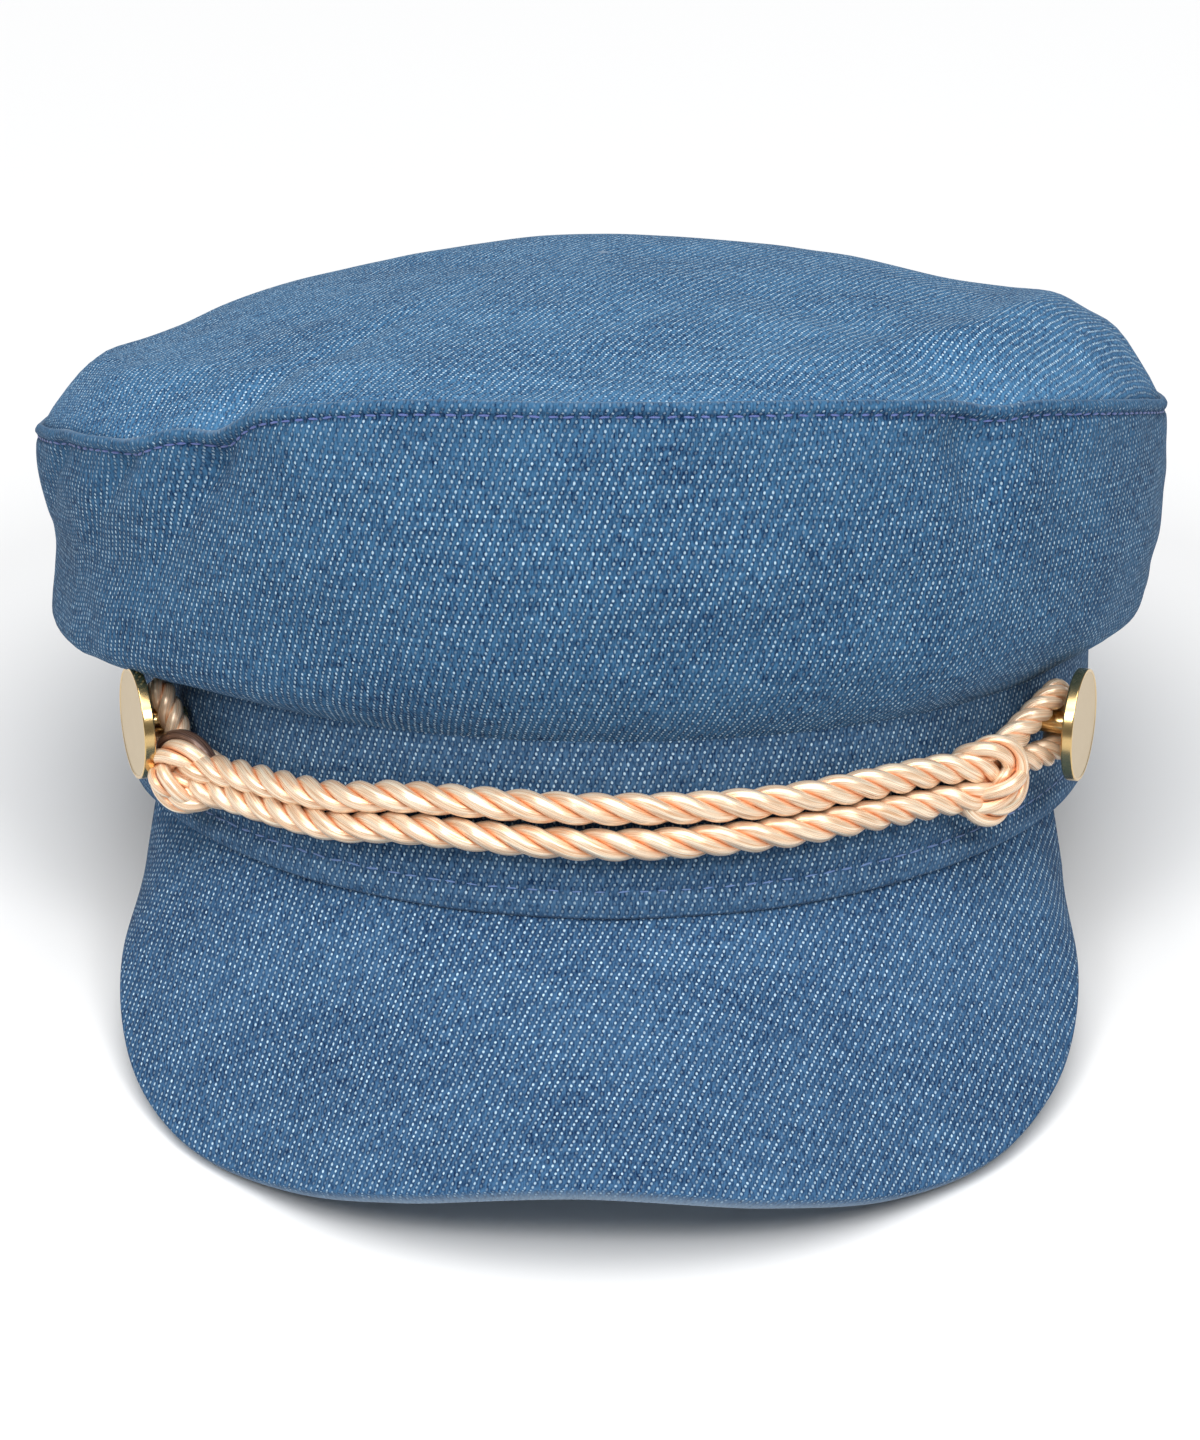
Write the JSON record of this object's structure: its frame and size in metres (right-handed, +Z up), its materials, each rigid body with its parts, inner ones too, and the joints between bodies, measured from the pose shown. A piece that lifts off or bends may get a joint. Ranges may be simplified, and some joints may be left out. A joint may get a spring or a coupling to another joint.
{
  "type": "captain hat",
  "caption": "Soft denim captain hat with a domed round top, a headband, a curved peak and a doubled twisted cord knotted and hooked on flat side buttons.",
  "frame": {"origin": "centre of the bounding box on the floor that the hat rests on", "axes": "the peak faces -Y, +X is the wearer's left and +Z is up"},
  "size_m": [0.2078, 0.2602, 0.1313],
  "materials": {
    "denim_top": "mid blue denim twill, matt",
    "denim_side": "mid blue denim twill, matt",
    "denim_band": "mid blue denim twill, matt",
    "denim_peak": "mid blue denim twill over a stiff board",
    "satin_cord": "peach satin cord of three twisted strands",
    "brushed_gold": "pale brushed gold with a polished rim"
  },
  "bodies": {
    "root": {"top_panel": "denim_top", "crown_side": "denim_side", "head_band": "denim_band", "peak": "denim_peak", "rope": "satin_cord", "button_left": "brushed_gold", "button_right": "brushed_gold"}
  },
  "joints": []
}
